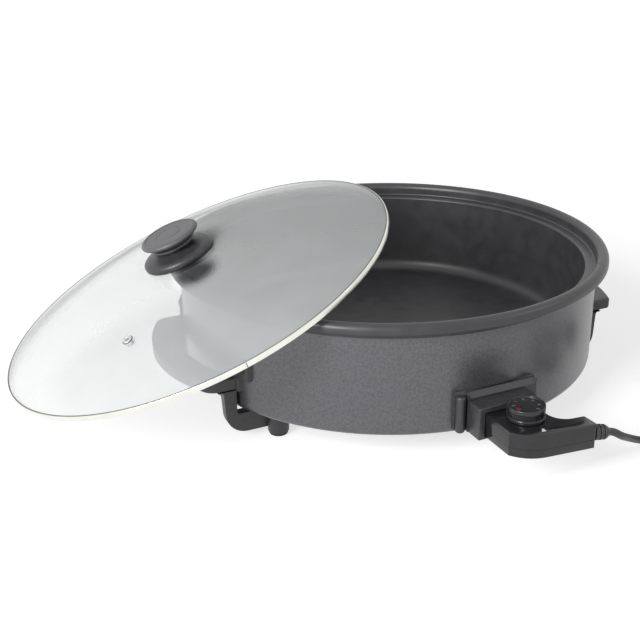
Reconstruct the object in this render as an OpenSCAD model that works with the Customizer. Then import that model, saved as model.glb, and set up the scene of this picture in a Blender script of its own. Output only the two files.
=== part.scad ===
// Round electric skillet: a coated inner pan in a painted jacket, two handle
// brackets that carry the feet, a plug-in heat control and a loose glass lid
// parked on the rim.  Millimetres, +Z up, origin on the pan's axis at table
// level.  The handles lie along X and the control plugs in from -Y.

/* [Pan] */
// Outer diameter of the rolled rim
rim_d = 420; // [400:1:440]
// Height of the rim above the jacket's underside
pan_h = 105.5; // [98:0.5:112]
// Height of the jacket's underside above the table
stand_h = 29; // [28:0.5:31]
// Diameter of the opening at the lid's seat
seat_d = 377; // [374:1:378]
// Depth of the lid's seat below the rim
seat_depth = 12.5; // [12:0.5:13]
// Thickness of the inner pan
pan_t = 2.5; // [2:0.1:3]
// Height of the cooking floor above the jacket's underside
floor_up = 7; // [6.5:0.5:8]
// Fillet between the cooking floor and the wall
floor_fillet = 12.5; // [8:0.5:15]

/* [Jacket] */
// Outer diameter of the jacket
jacket_d = 399; // [398:0.5:399.5]
// Sheet thickness of the jacket
jacket_t = 1.2; // [0.8:0.1:1.5]
// Outer radius of the jacket's bottom corner
jacket_corner = 6.5; // [5:0.5:12]

/* [Heating element] */
// Radius of the element's ring
ring_r = 115; // [100:1:125]
// Diameter of the element's sheath
sheath_d = 7.5; // [6.5:0.1:8]
// Distance between the two contact pins
pin_pitch = 28; // [27:0.5:29]
// Diameter of a contact pin
pin_d = 5; // [4:0.1:5.2]

/* [Handles] */
// Reach of the grip's outer edge from the pan's axis
grip_reach = 234; // [230:1:238]
// Half length of the grip along the wall
grip_half = 79; // [77:1:80]
// Height of the grip's top above the table
grip_top = 62; // [58:0.5:64]
// Thickness of the grip
grip_t = 13; // [11:0.5:15]
// Outer face of a leg, from the pan's axis
leg_out = 199; // [198:0.5:200]
// Thickness of a leg along the wall
leg_w = 9.5; // [8:0.5:10]
// Diameter of a foot peg
peg_d = 19.2; // [18:0.2:20]
// Distance of the foot pegs from the pan's axis along X
peg_x = 150; // [146:1:154]
// Distance of the foot pegs from the pan's axis along Y
peg_y = 80.5; // [80:0.5:81]

/* [Socket] */
// Width of the socket's flange on the wall
flange_w = 82; // [78:1:84]
// Height of the socket's top above the table
shroud_top = 68.5; // [67:0.5:70]
// Distance of the socket collar's mouth from the pan's axis
collar_out = 221.5; // [221:0.5:223]

/* [Heat control] */
// Height of the control's underside above the table
control_low = 36; // [35.5:0.5:36.5]
// Thickness of the control
control_t = 21; // [20.5:0.5:21.5]
// Distance of the control's front face from the pan's axis
control_out = 269.8; // [269:0.2:271]
// Distance of the dial's axle from the pan's axis
dial_out = 240; // [239:0.5:241]
// Diameter of the dial's grip
dial_d = 28.8; // [27:0.2:29.4]

/* [Lid] */
// Outer diameter of the lid over its rim band
lid_d = 381; // [379:1:382]
// Height of the glass dome over the rim band's middle
dome_h = 33.5; // [33:0.1:34]
// Thickness of the glass
glass_t = 4; // [3.6:0.1:4]
// Diameter of the knob's grip
knob_d = 55; // [50:1:60]
// Diameter of the guard under the knob
guard_d = 68; // [66:1:70]
// Tilt of the parked lid
park_tilt = 21.6; // [21.5:0.05:21.7]
// Direction of the parked lid's low side
park_dir = 170.3; // [170:0.1:170.6]
// Direction in which the parked lid's middle lies from the pan's axis
park_side = 173; // [172.8:0.1:173.2]
// Distance of the parked lid's middle from the pan's axis
park_out = 188.5; // [188.3:0.1:188.6]
// Height of the parked lid's middle above the table
park_up = 111.95; // [111.9:0.05:112.3]

/* [Mains cord] */
// Diameter of the cord
cord_d = 6.4; // [6:0.1:6.8]
// Radius of the coil's inner turns, at their middle
coil_r = 35; // [32:1:38]

/* [Hidden] */
$fn = 96;

// heights above the table and radii of the pan
rim_r = rim_d / 2;
rim_z = stand_h + pan_h;
seat_r = seat_d / 2;
seat_z = rim_z - seat_depth;
floor_z = stand_h + floor_up;
pan_under = floor_z - 3;
bead_r = 5.75;
riser_r = rim_r - 2 * bead_r;
bead_z = rim_z - bead_r;
jacket_r = jacket_d / 2;
pan_out_r = seat_r + pan_t;

// heating element and its leads
ring_z = 25;
lead_x = pin_pitch / 2;
lead_bend = 12;
lead_angle = asin((lead_x + lead_bend) / (ring_r + lead_bend));
lead_y = (ring_r + lead_bend) * cos(lead_angle);
riser_y = 206;
riser_bend = 7;
hair = 0.02;
plug_z = control_low + control_t / 2;
ridge_w = 16;

// jacket screws, from -Y round
jacket_screw_r = 165;
jacket_screw_angles = [60, 180, 300];

// handle bracket
grip_arc_r = 150;
gap_at_middle = 7.5;
leg_in = leg_out - 13.5;
leg_y = 74.5;
arm_low = 8.1;
arm_top = stand_h - 1.5;
leg_bend = 18.5;
pad_h = 3;
ear_top = 80;
ear_low = 62;
ear_out_r = jacket_r + 7;
ear_reach = 93;
ear_screw_y = 87;
ear_screw_z = 72;

// socket
shroud_low = stand_h + 5;
flange_r = jacket_r + 4.5;
frame_half = 32;
frame_out = 205.5;
collar_half = 31;
mouth_half = 25.7;
post_x = 37;
post_out = 202.2;
post_r = 4.2;
shroud_screw_x = 28;

// heat control
control_top = control_low + control_t;
seam_z = control_low + 7.3;
skin = 2;
side = 24.8;
neck = 18.5;
corner_r = 32.7;
corner_x = 3.3;
arm_end = 41.5;
arm_out = control_out + 4.6;
arm_back = 257.8;
notch_x = 33;
notch_r = 14.5;
nose_out = 214.6;
relief_x = arm_end;
relief_y = -268;
relief_z = 46.4;
relief_turn = -6;
relief_dip = 7;
relief_len = 19;
dial_gap = 0.8;
dial_h = 11;
dial_base = control_top + dial_gap;
lamp_y = dial_out + 23;

// lid
lid_r = lid_d / 2;
glass_r = lid_r - 1.2;
cap_r = (glass_r * glass_r + (dome_h - 2) * (dome_h - 2)) / (2 * (dome_h - 2));
cap_low = dome_h - cap_r;
vent_r = 113.6;
vent_angle = 52;
hook_r = 28;
hook_depth = 14.5;
hook_low = dome_h - glass_t - hook_depth;

// cord route, from the strain relief to the coil, then from the coil to the plug
route = [[60.5, -270, 44.05], [62.8, -270.25, 43.7], [66.2, -270.6, 41], [72, -269.4, 35.6],
    [80, -265.2, 29.6], [90, -259.2, 23], [101, -253.4, 16.6], [112.5, -249, 10.8],
    [124, -247.4, 6.6], [136, -249.2, 4.2], [147, -256.5, 3.3], [156, -267.5, 3.3],
    [165, -278.8, 3.3], [175.4, -287.8, 3.3], [187.8, -292.7, 3.3]];
coil_x = 200;
coil_y = -246;
tail = [[238.6, -261, 16.4], [241.2, -251, 16.5], [242.6, -240, 16.9], [243, -228, 17.6],
    [243, -216, 18], [243, -207.2, 18]];
plug_y = -207;
plug_x = 243;
plug_axis_z = 18;

function unit(v) = v / norm(v);
function along(p, i) = unit(p[min(i + 1, len(p) - 1)] - p[max(i - 1, 0)]);
function side_of(t) = unit(cross(t, [0, 0, 1]));
function ring_at(p, t, r, n) = let (a = side_of(t), b = cross(a, t))
    [for (k = [0:n - 1]) p + r * (cos(360 * k / n) * a + sin(360 * k / n) * b)];

// a round tube swept along the points of a route
module sweep(p, r, n = 8) {
    last = len(p) - 1;
    points = [for (i = [0:last]) each ring_at(p[i], along(p, i), r, n)];
    sides = [for (i = [0:last - 1]) for (k = [0:n - 1])
        [i * n + k, i * n + (k + 1) % n, (i + 1) * n + (k + 1) % n, (i + 1) * n + k]];
    polyhedron(points, concat([[for (k = [n - 1:-1:0]) k]], sides,
        [[for (k = [0:n - 1]) last * n + k]]), convexity = 6);
}

// a block by its width, its distance from the pan's axis and its height
module slab(x0, x1, d0, d1, z0, z1) translate([x0, -d1, z0]) cube([x1 - x0, d1 - d0, z1 - z0]);

// half outline of a round tub with a filleted bottom corner
module tub(r, z0, z1, fillet) {
    translate([0, z0]) square([r - fillet, z1 - z0]);
    translate([0, z0 + fillet]) square([r, z1 - z0 - fillet]);
    translate([r - fillet, z0 + fillet]) circle(fillet);
}

module at_screws() for (a = jacket_screw_angles) rotate(a) translate([jacket_screw_r, 0, 0]) children();

// the radial axis of a handle's mounting screw, in the handle's own frame
module at_ear_screws() for (s = [-1, 1]) translate([0, 0, ear_screw_z])
    rotate([0, 0, s * asin(ear_screw_y / ear_out_r)]) rotate([0, 90, 0]) children();

// ---------- pan ----------

module rim_section() {
    // flat seat for the lid
    translate([seat_r, seat_z - pan_t]) square([riser_r + pan_t - seat_r, pan_t]);
    // riser up to the bead
    translate([riser_r, seat_z - pan_t]) square([pan_t, bead_z - seat_z + pan_t]);
    // rolled bead, open below
    difference() {
        translate([rim_r - bead_r, bead_z]) circle(bead_r);
        translate([rim_r - bead_r, bead_z]) circle(bead_r - pan_t);
        translate([riser_r - 1, bead_z - 2 * bead_r]) square([2 * bead_r + 2, 2 * bead_r]);
    }
    translate([rim_r - pan_t, bead_z - 2.8]) square([pan_t, 2.8]);
}

module inner_pan() color([0.22, 0.22, 0.23]) difference() {
    union() {
        rotate_extrude() {
            difference() {
                tub(pan_out_r, pan_under, seat_z, floor_fillet + pan_t);
                tub(seat_r, floor_z, seat_z + 1, floor_fillet);
            }
            rim_section();
        }
        // ridge that holds the element, open where its ends come out
        rotate([0, 0, lead_angle - 90]) rotate_extrude(angle = 360 - 2 * lead_angle) difference() {
            translate([ring_r - ridge_w / 2, ring_z]) square([ridge_w, pan_under - ring_z + 1]);
            translate([ring_r, ring_z]) circle(sheath_d / 2 + 0.05, $fn = 32);
        }
        at_screws() translate([0, 0, stand_h + jacket_t])
            cylinder(d = 12, h = pan_under - stand_h - jacket_t + 1, $fn = 32);
    }
    at_screws() translate([0, 0, stand_h - 1]) cylinder(d = 4, h = 5.5, $fn = 24);
}

module outer_jacket() color([0.42, 0.42, 0.43]) difference() {
    rotate_extrude() difference() {
        tub(jacket_r, stand_h, seat_z - pan_t, jacket_corner);
        tub(jacket_r - jacket_t, stand_h + jacket_t, seat_z, jacket_corner - jacket_t);
        square([150, rim_z]);
    }
    at_screws() translate([0, 0, stand_h - 1]) cylinder(d = 4.2, h = 4, $fn = 24);
    translate([0, 0, plug_z]) rotate([90, 0, 0]) cylinder(d = 10.4, h = 260, $fn = 32);
    for (a = [0, 180]) rotate(a) at_ear_screws() cylinder(d = 4.2, h = 260, $fn = 24);
    at_shroud_screws() cylinder(d = 3.6, h = 260, $fn = 24);
}

module jacket_screws() color([0.7, 0.7, 0.72]) at_screws() {
    translate([0, 0, stand_h - 2.4]) cylinder(d = 8, h = 2.4, $fn = 32);
    translate([0, 0, stand_h - 0.5]) cylinder(d = 3.9, h = 4.5, $fn = 24);
}

// one end of the element: bend out of the ring, lead, elbow, riser and contact pin
module element_end() {
    translate([(ring_r + lead_bend) * sin(lead_angle), -lead_y, ring_z])
        rotate([0, 0, 90 + lead_angle]) rotate_extrude(angle = 90 - lead_angle)
            translate([lead_bend, 0]) circle(sheath_d / 2, $fn = 32);
    translate([lead_x, -lead_y - hair, ring_z]) rotate([90, 0, 0])
        cylinder(d = sheath_d, h = riser_y - riser_bend - lead_y - 2 * hair, $fn = 32);
    translate([lead_x, riser_bend - riser_y, ring_z + riser_bend]) rotate([90, 0, -90]) rotate([0, 0, -90])
        rotate_extrude(angle = 90) translate([riser_bend, 0]) circle(sheath_d / 2, $fn = 32);
    translate([lead_x, -riser_y, ring_z + riser_bend + hair])
        cylinder(d = sheath_d, h = plug_z + 4 - ring_z - riser_bend, $fn = 32);
    translate([lead_x, -riser_y, plug_z]) rotate([90, 0, 0]) {
        cylinder(d = pin_d, h = 16.5, $fn = 32);
        translate([0, 0, 16.5]) cylinder(d1 = pin_d, d2 = pin_d - 2, h = 2, $fn = 32);
    }
}

module heating_element() color([0.55, 0.54, 0.52]) {
    translate([0, 0, ring_z]) rotate([0, 0, lead_angle - 90 + 0.01])
        rotate_extrude(angle = 359.98 - 2 * lead_angle)
            translate([ring_r, 0]) circle(sheath_d / 2, $fn = 32);
    element_end();
    mirror([1, 0, 0]) element_end();
}

module terminal_block() color([0.92, 0.9, 0.85]) difference() {
    slab(-21, 21, 210, 213, plug_z - 8.5, plug_z + 8.5);
    for (s = [-1, 1]) translate([s * lead_x, -200, plug_z]) rotate([90, 0, 0])
        cylinder(d = pin_d + 0.1, h = 20, $fn = 32);
    translate([0, -200, plug_z]) rotate([90, 0, 0]) cylinder(d = 10.2, h = 20, $fn = 32);
}

module probe_well() color([0.75, 0.75, 0.76]) difference() {
    union() {
        translate([0, -187, plug_z]) rotate([90, 0, 0]) cylinder(d = 10, h = 26, $fn = 48);
        translate([0, -187, plug_z]) rotate([90, 0, 0]) cylinder(d = 18, h = 7, $fn = 48);
    }
    cylinder(r = pan_out_r, h = 200);
    translate([0, -194, plug_z]) rotate([90, 0, 0]) cylinder(d = 6.6, h = 30, $fn = 48);
}

// ---------- socket ----------

// section of the socket's frame and flange with its sloped top, from the wall outwards
module sloped_section(reach, slope) polygon([[185, shroud_low], [reach, shroud_low],
    [reach, shroud_top - slope], [reach - slope, shroud_top], [185, shroud_top]]);

module swept_x(half) translate([-half, 0, 0]) rotate([90, 0, 90]) linear_extrude(2 * half)
    mirror([1, 0]) children();

module at_shroud_screws() for (s = [-1, 1])
    translate([s * shroud_screw_x, 0, 49.5]) rotate([90, 0, 0]) children();

module socket_shroud() color([0.13, 0.13, 0.14]) difference() {
    union() {
        // flange that follows the wall, and the flat frame in its middle
        intersection() {
            rotate_extrude() sloped_section(flange_r, 2.5);
            slab(-flange_w / 2, flange_w / 2, 185, 215, shroud_low - 1, shroud_top + 1);
        }
        swept_x(frame_half) sloped_section(frame_out, 4);
        slab(-collar_half, collar_half, frame_out - 1, collar_out, 33.5, 62.5);
        // rounded posts down both sides
        for (s = [-1, 1]) translate([s * post_x, -post_out, shroud_low + post_r - 0.3]) {
            cylinder(r = post_r, h = 25, $fn = 32);
            sphere(r = post_r, $fn = 32);
            translate([0, 0, 25]) sphere(r = post_r, $fn = 32);
        }
    }
    cylinder(r = jacket_r + 0.05, h = 120);
    slab(-mouth_half, mouth_half, 209.9, collar_out + 1, control_low - 0.8, control_top + 0.8);
    slab(-24, 24, 190, 211, control_low + 1, control_top - 1);
    for (s = [-1, 1]) slab(s * lead_x - 4.4, s * lead_x + 4.4, 190, 212, shroud_low - 1, plug_z + 5);
    at_shroud_screws() cylinder(d = 3.4, h = 204, $fn = 24);
}

module shroud_screws() color([0.6, 0.6, 0.62]) at_shroud_screws() {
    translate([0, 0, 192.5]) cylinder(d = 6, h = 3.2, $fn = 32);
    translate([0, 0, 194]) cylinder(d = 3.3, h = 9.6, $fn = 24);
}

module socket_earth_clip() color([0.78, 0.7, 0.45]) {
    slab(-4, 4, 213, 219.5, control_low - 0.8, control_low - 0.35);
    slab(-4, 4, 213, 213.4, control_low - 0.8, control_low + 3);
}

// ---------- handles ----------

module grip_plan() intersection() {
    difference() {
        translate([grip_reach - grip_arc_r, 0]) circle(grip_arc_r, $fn = 180);
        translate([jacket_r + gap_at_middle - grip_arc_r, 0]) circle(grip_arc_r, $fn = 180);
    }
    translate([150, -grip_half]) square([100, 2 * grip_half]);
}

// vertical leg, bend and arm, drawn in the plane across the wall
module leg_section() difference() {
    union() {
        translate([peg_x, arm_low]) square([leg_out - leg_bend - peg_x, 40]);
        intersection() {
            translate([leg_out - leg_bend, arm_low + leg_bend]) circle(leg_bend);
            translate([leg_out - leg_bend, arm_low]) square(leg_bend);
        }
        translate([leg_out - leg_bend, arm_low + leg_bend])
            square([leg_bend, grip_top - grip_t - arm_low - leg_bend + 1]);
    }
    translate([peg_x - 10, arm_top + 2.5]) square([leg_in - peg_x + 10, 40]);
    translate([peg_x - 10, arm_top]) square([leg_in - peg_x + 7.5, 40]);
    translate([leg_in - 2.5, arm_top + 2.5]) circle(2.5, $fn = 48);
}

module ear(s) intersection() {
    cylinder(r = ear_out_r, h = 120);
    translate([150, 0, 0]) rotate([90, 0, 90]) linear_extrude(60) scale([s, 1]) {
        translate([72, grip_top - grip_t]) square([9, ear_top - grip_top + grip_t - 5]);
        translate([77, ear_low]) square([ear_reach - 77, ear_top - ear_low - 5]);
        translate([77, ear_low]) square([ear_reach - 82, ear_top - ear_low]);
        translate([ear_reach - 5, ear_top - 5]) circle(5, $fn = 32);
        translate([77, ear_top - 5]) circle(5, $fn = 32);
    }
}

module handle() difference() {
    union() {
        translate([0, 0, grip_top - grip_t]) linear_extrude(grip_t) grip_plan();
        for (s = [-1, 1]) {
            translate([0, s * leg_y + leg_w / 2, 0]) rotate([90, 0, 0]) linear_extrude(leg_w) leg_section();
            translate([peg_x, s * peg_y, pad_h]) cylinder(d = peg_d, h = stand_h - pad_h);
            ear(s);
        }
    }
    translate([0, 0, stand_h]) cylinder(r = jacket_r + 0.05, h = 90);
    at_ear_screws() cylinder(d = 4.2, h = 260, $fn = 24);
    for (s = [-1, 1]) translate([peg_x, s * peg_y, 0]) cylinder(d = 5, h = 9, $fn = 32);
}

module handle_screws() at_ear_screws() {
    translate([0, 0, jacket_r - jacket_t - 3.2]) cylinder(d = 8, h = 3, $fn = 6);
    translate([0, 0, jacket_r - jacket_t - 1]) cylinder(d = 4, h = 9, $fn = 24);
    translate([0, 0, ear_out_r]) cylinder(d = 8, h = 2.4, $fn = 32);
}

module foot_pads() for (s = [-1, 1]) translate([peg_x, s * peg_y, 0]) {
    cylinder(d1 = peg_d - 3, d2 = peg_d - 0.6, h = pad_h, $fn = 48);
    cylinder(d = 4.9, h = 8.5, $fn = 32);
}

module left_handle() color([0.17, 0.17, 0.18]) rotate(180) handle();
module right_handle() color([0.17, 0.17, 0.18]) handle();
module left_handle_screws() color([0.66, 0.66, 0.68]) rotate(180) handle_screws();
module right_handle_screws() color([0.66, 0.66, 0.68]) handle_screws();
module left_foot_pads() color([0.1, 0.1, 0.1]) rotate(180) foot_pads();
module right_foot_pads() color([0.1, 0.1, 0.1]) foot_pads();

// ---------- lid ----------

// the lid's own frame: +Z out of the dome, origin in the middle of the rim band
module parked() translate([park_out * cos(park_side), park_out * sin(park_side), park_up])
    rotate([0, 0, park_dir]) rotate([0, park_tilt, 0]) children();

// section of the glass, grown by a fit all round
module glass_section(fit = 0) intersection() {
    difference() {
        translate([0, cap_low]) circle(cap_r + fit, $fn = 720);
        translate([0, cap_low]) circle(cap_r - glass_t - fit, $fn = 720);
    }
    translate([0, -10]) square([glass_r + fit, 80]);
}

// the vent's axis, square to the dome, with its origin on the glass
module at_vent() rotate([0, 0, vent_angle]) translate([0, 0, cap_low]) rotate([0, asin(vent_r / cap_r), 0])
    translate([0, 0, cap_r]) children();

module lid_glass() color([0.85, 0.9, 0.88, 0.35]) parked() difference() {
    rotate_extrude($fn = 144) glass_section();
    translate([0, 0, 10]) cylinder(d = 7, h = 40, $fn = 32);
    at_vent() translate([0, 0, -glass_t - 1]) cylinder(d = 7, h = 10, $fn = 32);
}

module lid_rim_band() color([0.8, 0.8, 0.8]) parked() rotate_extrude($fn = 144) difference() {
    translate([lid_r - 4.2, -2.6]) square([4.2, 5.2]);
    glass_section(0.03);
}

module lid_vent() color([0.82, 0.82, 0.83]) parked() at_vent() difference() {
    union() {
        translate([0, 0, -glass_t - 0.8]) cylinder(d = 6.8, h = glass_t + 1.6, $fn = 32);
        translate([0, 0, 0.1]) cylinder(d = 10.5, h = 0.9, $fn = 32);
        translate([0, 0, -glass_t - 0.9]) cylinder(d = 9.5, h = 0.8, $fn = 32);
    }
    translate([0, 0, -10]) cylinder(d = 4.2, h = 20, $fn = 32);
}

module lid_knob_seal() color([0.2, 0.2, 0.2]) parked() difference() {
    translate([0, 0, dome_h]) cylinder(d = 30, h = 0.9, $fn = 64);
    cylinder(d = 6, h = 60, $fn = 32);
}

module lid_knob_guard() color([0.16, 0.16, 0.17]) parked() difference() {
    rotate_extrude() polygon([[0, dome_h + 0.9], [guard_d / 2 - 3, dome_h - 0.4],
        [guard_d / 2 - 0.6, dome_h + 0.2], [guard_d / 2, dome_h + 1.6], [guard_d / 2 - 1.6, dome_h + 3.8],
        [18, dome_h + 10.4], [16.6, dome_h + 12], [0, dome_h + 12]]);
    cylinder(d = 6, h = 60, $fn = 32);
    translate([0, 0, dome_h - 1]) cylinder(d = 30.2, h = 1.92, $fn = 64);
}

module lid_knob() color([0.17, 0.17, 0.18]) parked() difference() {
    rotate_extrude() polygon([[0, dome_h + 12], [17.5, dome_h + 12], [19, dome_h + 13],
        [19, dome_h + 14.6], [17.4, dome_h + 15.6], [18.4, dome_h + 16.4], [knob_d / 2 - 3, dome_h + 18],
        [knob_d / 2 - 0.6, dome_h + 19.4], [knob_d / 2, dome_h + 21], [knob_d / 2 - 0.7, dome_h + 22.8],
        [knob_d / 2 - 3, dome_h + 24], [knob_d / 2 - 5.4, dome_h + 24], [knob_d / 2 - 6.6, dome_h + 23],
        [0, dome_h + 22.6]]);
    cylinder(d = 3.4, h = dome_h + 19, $fn = 24);
}

module hook_form() difference() {
    translate([0, 0, hook_low]) cylinder(r = hook_r, h = hook_depth - 0.9);
    translate([2.5, -hook_r - 1, 0]) cube([40, 2 * hook_r + 2, 40]);
    // hollow behind the face that hangs on the rim
    difference() {
        translate([0, 0, hook_low - 1]) cylinder(r = hook_r - 2.6, h = hook_depth - 2.4);
        translate([-2.6, -hook_r, 0]) cube([40, 2 * hook_r, 40]);
        cylinder(r = 6, h = 40, $fn = 48);
        translate([-hook_r, -1.2, 0]) cube([hook_r, 2.4, 40]);
    }
    cylinder(d = 3.4, h = 40, $fn = 24);
    cylinder(d = 4.8, h = hook_low + 2.4, $fn = 32);
}

// the rim with room to spare, which the hook hangs against
module rim_room() rotate_extrude() {
    translate([rim_r - bead_r, bead_z]) circle(bead_r + 0.4);
    translate([riser_r - 0.4, 90]) square([30, bead_z - 90]);
}

module lid_rest_hook() color([0.14, 0.14, 0.15]) difference() {
    parked() hook_form();
    rim_room();
}

module lid_knob_screw() color([0.75, 0.75, 0.76]) parked() {
    translate([0, 0, hook_low + 0.2]) cylinder(d = 4.6, h = 2.2, $fn = 32);
    translate([0, 0, hook_low + 1]) cylinder(d = 3.3, h = 35, $fn = 24);
}

// ---------- heat control ----------

// plan of the control, drawn a margin t inside its outer skin
module control_plan(t) {
    // the broad rounded corner at the front left
    intersection() {
        translate([corner_x, corner_r - control_out]) circle(corner_r - t);
        translate([t - side, -control_out]) square([side + corner_x - t, control_out - 230]);
    }
    // nose and neck
    polygon([[t - side, -236], [t - side, -nose_out - t], [side - t, -nose_out - t], [side - t, -226],
        [neck - t, -238], [neck - t, -250], [corner_x, -250], [corner_x, -236]]);
    // arm that leads to the cord
    polygon([[corner_x, -240], [corner_x, t - control_out - 0.3], [arm_end - t, t - arm_out],
        [arm_end - t, -arm_back - 1.2 - t], [notch_x, -arm_back - t], [neck - t, -240]]);
    // hollow corner between the neck and the arm
    difference() {
        translate([neck - 4, -arm_back - t - 0.1]) square([notch_x - neck + 4, 14]);
        translate([notch_x, notch_r - arm_back]) circle(notch_r + t);
    }
}

module housing_bosses() for (p = [[-17.5, -246], [24, -264.4]]) translate([p[0], p[1], 0]) children();

module plug_holes() {
    for (s = [-1, 1]) translate([s * lead_x, -210, plug_z]) rotate([90, 0, 0])
        cylinder(d = 7.7, h = 8, $fn = 32);
    translate([0, -210, plug_z]) rotate([90, 0, 0]) cylinder(d = 6.1, h = 12, $fn = 32);
    at_relief() translate([0, 0, -8]) cylinder(d = 8.3, h = 30, $fn = 32);
}

module control_top_housing() color([0.1, 0.1, 0.11]) difference() {
    union() {
        difference() {
            translate([0, 0, seam_z]) linear_extrude(control_top - seam_z) control_plan(0);
            translate([0, 0, seam_z - 1]) linear_extrude(control_top - seam_z + 1 - skin) control_plan(skin);
        }
        housing_bosses() translate([0, 0, seam_z]) cylinder(d = 6, h = control_top - seam_z - 1, $fn = 32);
    }
    plug_holes();
    translate([0, -dial_out, seam_z]) cylinder(d = 6.7, h = 20, $fn = 48);
    translate([-2.1, -lamp_y - 3.1, seam_z]) cube([4.2, 6.2, 20]);
    housing_bosses() translate([0, 0, seam_z - 1]) cylinder(d = 2.6, h = 8, $fn = 24);
}

module control_bottom_housing() color([0.1, 0.1, 0.11]) difference() {
    union() {
        difference() {
            translate([0, 0, control_low]) linear_extrude(seam_z - control_low) control_plan(0);
            translate([0, 0, control_low + skin]) linear_extrude(20) control_plan(skin);
        }
        housing_bosses() translate([0, 0, control_low]) cylinder(d = 6, h = seam_z - control_low, $fn = 32);
    }
    plug_holes();
    housing_bosses() translate([0, 0, control_low - 1]) cylinder(d = 2.8, h = 10, $fn = 24);
    housing_bosses() translate([0, 0, control_low - 1]) cylinder(d = 5.2, h = 3, $fn = 32);
}

module housing_screws() color([0.7, 0.7, 0.72]) housing_bosses() {
    translate([0, 0, control_low + 0.2]) cylinder(d = 5, h = 1.8, $fn = 32);
    translate([0, 0, control_low + 1]) cylinder(d = 2.5, h = 11, $fn = 24);
}

module sensor_rod() color([0.78, 0.78, 0.8]) translate([0, -194.6, plug_z]) rotate([90, 0, 0]) {
    cylinder(d = 6, h = 30, $fn = 48);
    translate([0, 0, 24]) cylinder(d = 9, h = 3, $fn = 48);
}

module contact_sleeves() color([0.8, 0.68, 0.38]) for (s = [-1, 1]) difference() {
    translate([s * lead_x, -215, plug_z]) rotate([90, 0, 0]) cylinder(d = 7.5, h = 13, $fn = 32);
    translate([s * lead_x, -214, plug_z]) rotate([90, 0, 0]) cylinder(d = pin_d + 0.6, h = 12, $fn = 32);
}

module control_earth_strip() color([0.8, 0.68, 0.38]) {
    slab(-4, 4, 217, 232, control_low + skin, control_low + skin + 0.8);
}

module thermostat_frame() color([0.7, 0.7, 0.72]) difference() {
    union() {
        slab(-9, 9, dial_out - 8, dial_out + 8, control_low + skin, control_low + skin + 1.6);
        slab(-9, 9, dial_out - 8, dial_out + 8, control_top - skin - 1.6, control_top - skin);
        for (s = [-1, 1])
            slab(s * 8 - 1, s * 8 + 1, dial_out - 8, dial_out + 8, control_low + skin, control_top - skin);
    }
    translate([0, -dial_out, plug_z]) cylinder(d = 6.1, h = 40, $fn = 48);
}

module bimetal_strip() color([0.72, 0.6, 0.42]) {
    slab(-3, 3, 224.8, dial_out + 7, control_low + skin + 2.6, control_low + skin + 3.2);
    slab(-3, 3, 224.8, 226, control_low + skin + 2.6, plug_z - 3);
}

module contact_blades() color([0.8, 0.68, 0.38]) for (s = [-1, 1]) {
    slab(s * 13.4 - 2.6, s * 13.4 + 2.6, 228, 229, plug_z - 3, plug_z + 3);
    slab(s * 12 - 1, s * 12 + 1, 229, dial_out + 4, plug_z - 2, plug_z + 2);
}

module pilot_lamp() color([0.9, 0.55, 0.3]) translate([0, -lamp_y, control_low + skin + 1])
    cylinder(d = 4, h = 9, $fn = 32);

module lamp_lens() color([0.95, 0.93, 0.9]) translate([-2, -lamp_y - 3, control_top - 3]) cube([4, 6, 3.5]);

// ---------- dial ----------

module dial() color([0.09, 0.09, 0.1]) translate([0, -dial_out, dial_base]) difference() {
    union() {
        cylinder(r = dial_d / 2 + 1.1, h = 2.4);
        translate([0, 0, 2]) cylinder(r = dial_d / 2 - 0.6, h = 2);
        translate([0, 0, 3.4]) linear_extrude(6.2) polygon([for (i = [0:95])
            (dial_d / 2 - (i % 2 == 0 ? 0 : 0.5)) * [cos(i * 3.75), sin(i * 3.75)]]);
        translate([0, 0, 9]) cylinder(r = dial_d / 2 - 0.3, h = dial_h - 9);
    }
    translate([0, 0, dial_h - 1.2]) cylinder(r = dial_d / 2 - 1.9, h = 2);
    translate([0, 0, -1]) cylinder(d = 6, h = dial_h - 2, $fn = 48);
    mark_place() cylinder(d = 3.7, h = 3, $fn = 32);
}

module mark_place() translate([-8.2, -3.6, dial_h - 1.8]) children();

module dial_mark() color([0.75, 0.08, 0.1]) translate([0, -dial_out, dial_base]) mark_place()
    cylinder(d = 3.6, h = 0.8, $fn = 32);

module dial_shaft() color([0.75, 0.75, 0.77]) translate([0, -dial_out, control_low + skin + 4])
    cylinder(d = 5.98, h = dial_base + dial_h - 3.1 - control_low - skin - 4, $fn = 48);

// ---------- cord and plug ----------

module at_relief() translate([relief_x, relief_y, relief_z]) rotate([0, 0, relief_turn])
    rotate([0, 90 + relief_dip, 0]) children();

module strain_relief() color([0.08, 0.08, 0.09]) at_relief() {
    translate([0, 0, -5.2]) cylinder(d = 10, h = 1.4, $fn = 32);
    translate([0, 0, -4]) cylinder(d = 7.9, h = 5.4, $fn = 32);
    translate([0, 0, 1.3]) cylinder(d = 12.4, h = 4.1, $fn = 32);
    translate([0, 0, 4]) cylinder(d = 10.4, h = 10, $fn = 32);
    translate([0, 0, 6.8]) cylinder(d = 12.4, h = 5.4, $fn = 32);
    translate([0, 0, 13.4]) cylinder(d = 12.4, h = 2, $fn = 32);
    translate([0, 0, 15.4]) cylinder(d1 = 12.4, d2 = 7.6, h = relief_len - 15.4, $fn = 32);
}

module cord() color([0.1, 0.1, 0.11]) {
    sweep(route, cord_d / 2);
    sweep(tail, cord_d / 2);
}

module cord_coil() color([0.1, 0.1, 0.11]) translate([coil_x, coil_y, 0.1]) rotate_extrude()
    translate([coil_r - cord_d / 2, 0]) square([2 * cord_d, 2 * cord_d]);

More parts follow.
